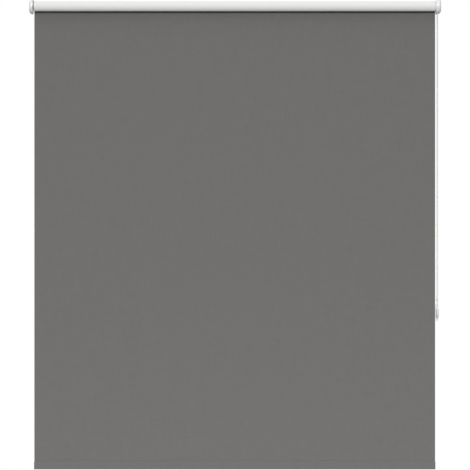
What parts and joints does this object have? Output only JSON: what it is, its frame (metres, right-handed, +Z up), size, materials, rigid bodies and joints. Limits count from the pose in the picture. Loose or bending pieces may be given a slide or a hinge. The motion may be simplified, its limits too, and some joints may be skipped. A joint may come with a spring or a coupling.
{
  "type": "roller blind",
  "caption": "Chain-driven roller blind, lowered: dark blackout fabric hanging from the rear of a bare white tube on two covered brackets, with a flat hem bar and a tensioned bead-chain loop.",
  "frame": {"origin": "centre of the four wall screw holes, on the wall plane at the back of the brackets, level with the tube's axis", "axes": "+X to the right of someone facing the blind, +Y into the wall, +Z up; the chain is at +X"},
  "size_m": [1.55, 0.06, 1.7746],
  "materials": {
    "bracket_steel": "white powder coat on steel",
    "cover_plastic": "white moulded plastic, satin gloss",
    "acetal": "natural white acetal",
    "bright_steel": "zinc-plated steel",
    "blackout_fabric": "dark grey coated blackout fabric, fine weave",
    "chain_plastic": "white plastic beads on a cord",
    "clear_plastic": "translucent white plastic",
    "tube_paint": "white stove enamel on extruded aluminium",
    "plug_plastic": "white moulded plastic",
    "adhesive_tape": "double-sided tape",
    "bar_steel": "galvanised flat bar",
    "hem_plastic": "dark grey moulded plastic"
  },
  "bodies": {
    "root": {"bracket_left": "bracket_steel", "bracket_right": "bracket_steel", "bracket_cover_left": "cover_plastic", "bracket_cover_right": "cover_plastic", "idle_bush": "acetal", "clutch_core": "acetal", "chain_guard": "cover_plastic", "guard_screws": "bright_steel", "core_washer": "bright_steel", "core_screw": "bright_steel", "fabric_sheet": "blackout_fabric", "bead_chain": "chain_plastic", "tensioner_body": "clear_plastic", "tensioner_axle": "bright_steel"},
    "roller": {"roller_tube": "tube_paint", "idle_plug": "plug_plastic", "idle_plug_cap": "plug_plastic", "drive_crown": "plug_plastic", "idle_pin_spring": "bright_steel", "fabric_tape": "adhesive_tape", "fabric_wrap": "blackout_fabric"},
    "sprocket": {"chain_sprocket": "acetal", "wrap_spring_1": "bright_steel", "wrap_spring_2": "bright_steel", "wrap_spring_3": "bright_steel", "wrap_spring_4": "bright_steel"},
    "idle_pin_body": {"idle_pin": "bright_steel", "idle_pin_clip": "bright_steel"},
    "hem": {"hem_pocket": "blackout_fabric", "hem_bar": "bar_steel", "hem_cap_left": "hem_plastic", "hem_cap_right": "hem_plastic"},
    "connector": {"chain_connector": "clear_plastic"},
    "pulley": {"tensioner_pulley": "acetal"}
  },
  "joints": [
    {"name": "tube_spin", "type": "hinge", "parent": "root", "child": "roller", "pos_m": [0, -0.032, 0], "axis": [1, 0, 0], "range_deg": [0, 4347.2]},
    {"name": "sprocket_play", "type": "hinge", "parent": "roller", "child": "sprocket", "pos_m": [0.762, -0.032, 0], "axis": [1, 0, 0], "range_deg": [-4, 4]},
    {"name": "hem_lift", "type": "slide", "parent": "root", "child": "hem", "axis": [0, 0, 1], "range_m": [0, 1.6805], "deforming": ["fabric_sheet"]},
    {"name": "connector_travel", "type": "slide", "parent": "root", "child": "connector", "axis": [0, 0, 1], "range_m": [0, 1.015]},
    {"name": "pulley_spin", "type": "hinge", "parent": "root", "child": "pulley", "pos_m": [0.762, -0.032, -1.155], "axis": [1, 0, 0], "range_deg": [0, 4348.2]},
    {"name": "idle_pin_slide", "type": "slide", "parent": "roller", "child": "idle_pin_body", "axis": [1, 0, 0], "range_m": [0, 0.006], "stiffness_N_per_m": 500, "springref_m": -0.006, "deforming": ["idle_pin_spring"]}
  ],
  "couplings": [
    {"joint": "hem_lift", "follows": "tube_spin", "m_per_rad": 0.022142},
    {"joint": "connector_travel", "follows": "tube_spin", "m_per_rad": 0.013369},
    {"joint": "pulley_spin", "follows": "tube_spin", "ratio": 1}
  ]
}
